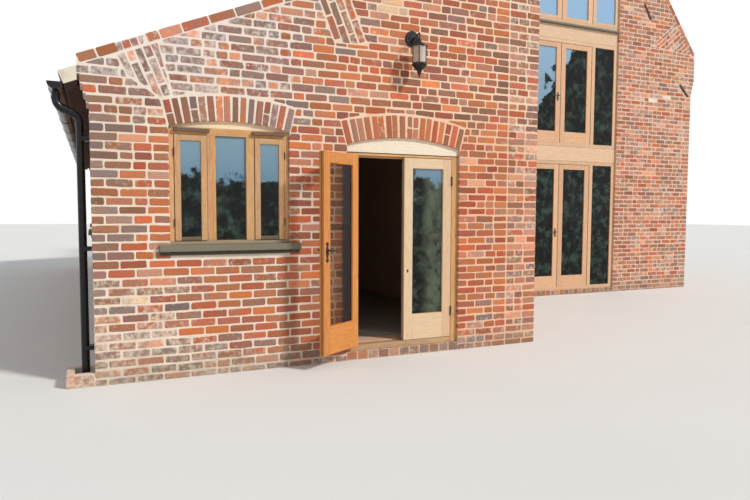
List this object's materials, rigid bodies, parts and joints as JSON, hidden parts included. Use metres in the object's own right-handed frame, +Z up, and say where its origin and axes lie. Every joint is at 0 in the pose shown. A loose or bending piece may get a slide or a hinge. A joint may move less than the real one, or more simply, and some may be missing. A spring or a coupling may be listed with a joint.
{
  "type": "brick barn house with a side wing",
  "caption": "Red-brick barn house: a steep gabled barn with a glazed oak screen and a lower side wing with French doors and an arched window.",
  "frame": {"origin": "ground level, in the middle of the barn's plan", "axes": "+X to the right seen from the front, +Y from the front back into the building, +Z up"},
  "size_m": [11.5049, 12.8197, 8.9415],
  "materials": {
    "red_brick": "soft red handmade bricks with purple and grey burnt ones, wide cream lime joints",
    "clay_tile": "matt red clay pantiles",
    "pale_oak": "pale cream boards",
    "oak": "golden tan oak, satin",
    "oiled_oak": "orange gold oiled oak, satin",
    "weathered_oak": "grey weathered oak",
    "concrete": "plain floor",
    "floor_boards": "plain floor boards",
    "black_gloss": "glossy black",
    "black_iron": "satin black iron",
    "glass": "clear double glazing"
  },
  "bodies": {
    "building": {"wing_front_wall": "red_brick", "wing_wall_over_door": "red_brick", "wing_left_wall": "red_brick", "wing_rear_wall": "red_brick", "barn_left_wall": "red_brick", "barn_right_wall": "red_brick", "barn_rear_gable": "red_brick", "barn_front_gable_sides": "red_brick", "barn_front_gable_top": "red_brick", "wing_coping": "red_brick", "barn_coping": "red_brick", "kneelers": "red_brick", "door_arch": "red_brick", "window_arches": "red_brick", "arch_boards": "pale_oak", "ground_floors": "concrete", "upper_floors": "floor_boards", "wing_roof": "clay_tile", "barn_roof_left": "clay_tile", "barn_roof_right": "clay_tile", "ridge_tiles": "clay_tile", "eaves_boards": "pale_oak", "gutters": "black_gloss", "downpipes": "black_gloss", "gully_surround": "red_brick", "lantern_body": "black_iron", "lantern_panes": "glass", "tie_bars": "black_iron", "screen_frame": "oak", "screen_leaves": "oak", "screen_glass": "glass", "screen_spandrels": "pale_oak", "sills": "weathered_oak", "window_frames": "oak", "window_casements": "oak", "window_panes": "glass", "door_frame": "oak", "thresholds": "red_brick", "hinge_pins": "black_iron"},
    "left_leaf_body": {"left_leaf": "oiled_oak", "left_leaf_pane": "glass", "left_leaf_hinges": "black_iron", "lever_plates": "black_iron"},
    "lever": {"lever_handle": "black_iron"},
    "right_leaf_body": {"right_leaf": "oak", "right_leaf_pane": "glass", "right_leaf_hinges": "black_iron"}
  },
  "joints": [
    {"name": "left_leaf_hinge", "type": "hinge", "parent": "building", "child": "left_leaf_body", "pos_m": [-5.1785, -7.7275, 1.1], "axis": [0, 0, 1], "range_deg": [-18, 147]},
    {"name": "lever_turn", "type": "hinge", "parent": "left_leaf_body", "child": "lever", "pos_m": [-5.6088, -8.0159, 1.14], "axis": [-0.5446, 0.8387, 0], "range_deg": [0, 35], "stiffness_Nm_per_rad": 2},
    {"name": "right_leaf_hinge", "type": "hinge", "parent": "building", "child": "right_leaf_body", "pos_m": [-4.0365, -7.7275, 1.1], "axis": [0, 0, 1], "range_deg": [0, 165]}
  ]
}
